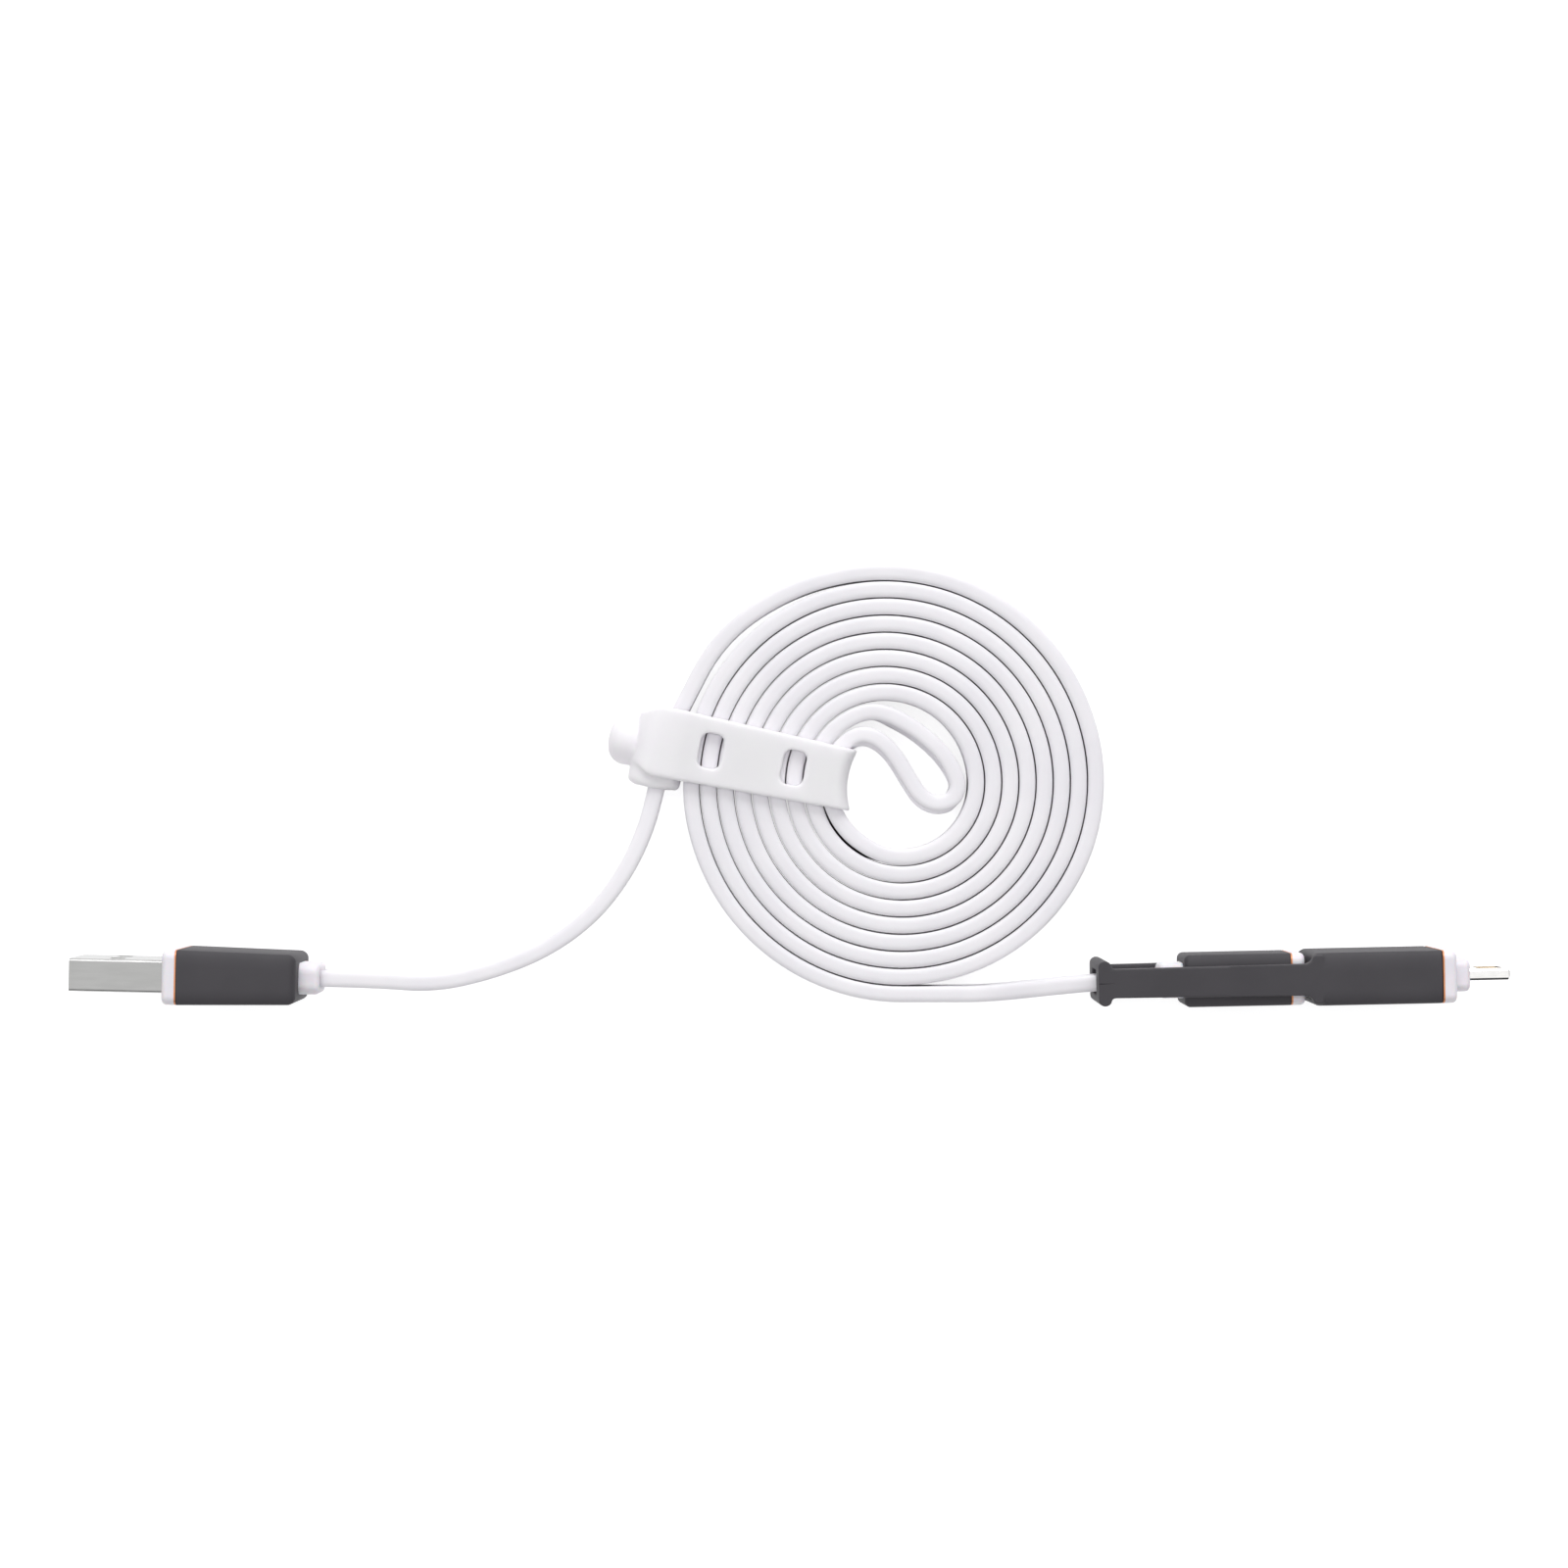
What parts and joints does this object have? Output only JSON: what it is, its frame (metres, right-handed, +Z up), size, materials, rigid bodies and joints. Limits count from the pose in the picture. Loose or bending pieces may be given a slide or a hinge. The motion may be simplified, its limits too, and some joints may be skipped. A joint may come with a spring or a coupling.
{
  "type": "charging cable",
  "caption": "Flat charging cable wound in a spiral under a buttoned silicone tie, with a USB-A plug and a tethered slide-on phone adapter.",
  "frame": {"origin": "centre of the base of the two plugs and the tie, on the table", "axes": "+X from the USB-A plug towards the phone tip, +Z up from the table, both plugs on their narrow edges"},
  "size_m": [0.1964, 0.0605, 0.016],
  "materials": {
    "cord_jacket": "pale lilac-white elastomer jacket, satin",
    "white_silicone": "moulded white silicone, soft satin",
    "dark_soft_touch": "dark grey thermoplastic elastomer, fine matte texture",
    "white_plastic": "moulded white polycarbonate blend, satin gloss",
    "copper_accent": "copper-coloured lacquer line",
    "nickel_shell": "nickel-plated folded steel, satin",
    "polished_tip": "polished nickel-plated tip",
    "tongue_plastic": "glass-filled insulating plastic",
    "gold_contact": "gold-plated copper alloy",
    "inner_mould": "natural inner moulding",
    "wire_insulation": "coloured conductor insulation",
    "circuit_board": "green solder resist on glass laminate",
    "chip_package": "black epoxy chip package",
    "black_insert": "dark insulating insert"
  },
  "bodies": {
    "cable": {"usb_a_collar": "white_plastic", "usb_a_sleeve": "dark_soft_touch", "usb_a_inner_mould": "inner_mould", "usb_a_accent_ring": "copper_accent", "usb_a_front_cap": "white_plastic", "usb_a_shell": "nickel_shell", "usb_a_tongue": "tongue_plastic", "usb_a_contacts": "gold_contact", "usb_a_wires": "wire_insulation", "phone_plug_collar": "white_plastic", "phone_plug_sleeve": "dark_soft_touch", "phone_plug_inner_mould": "inner_mould", "phone_plug_accent_ring": "copper_accent", "phone_plug_front_cap": "white_plastic", "phone_plug_shell": "nickel_shell", "phone_plug_tongue": "tongue_plastic", "phone_plug_contacts": "gold_contact", "phone_plug_wires": "wire_insulation", "cable_tie": "white_silicone", "cord_coil": "cord_jacket", "cord_lead_usb": "cord_jacket", "cord_lead_phone": "cord_jacket"},
    "adapter": {"adapter_sleeve": "dark_soft_touch", "adapter_accent_ring": "copper_accent", "adapter_front_cap": "white_plastic", "adapter_nose": "white_plastic", "phone_tip": "polished_tip", "tip_inserts": "black_insert", "tip_contacts": "gold_contact", "socket_shell": "nickel_shell", "socket_tongue": "tongue_plastic", "socket_contacts": "gold_contact", "adapter_board": "circuit_board", "adapter_chips": "chip_package", "adapter_inner_mould": "inner_mould"}
  },
  "joints": [
    {"name": "adapter_slide", "type": "slide", "parent": "cable", "child": "adapter", "axis": [0.9998, 0.0209, 0], "range_m": [0, 0.0068]}
  ]
}
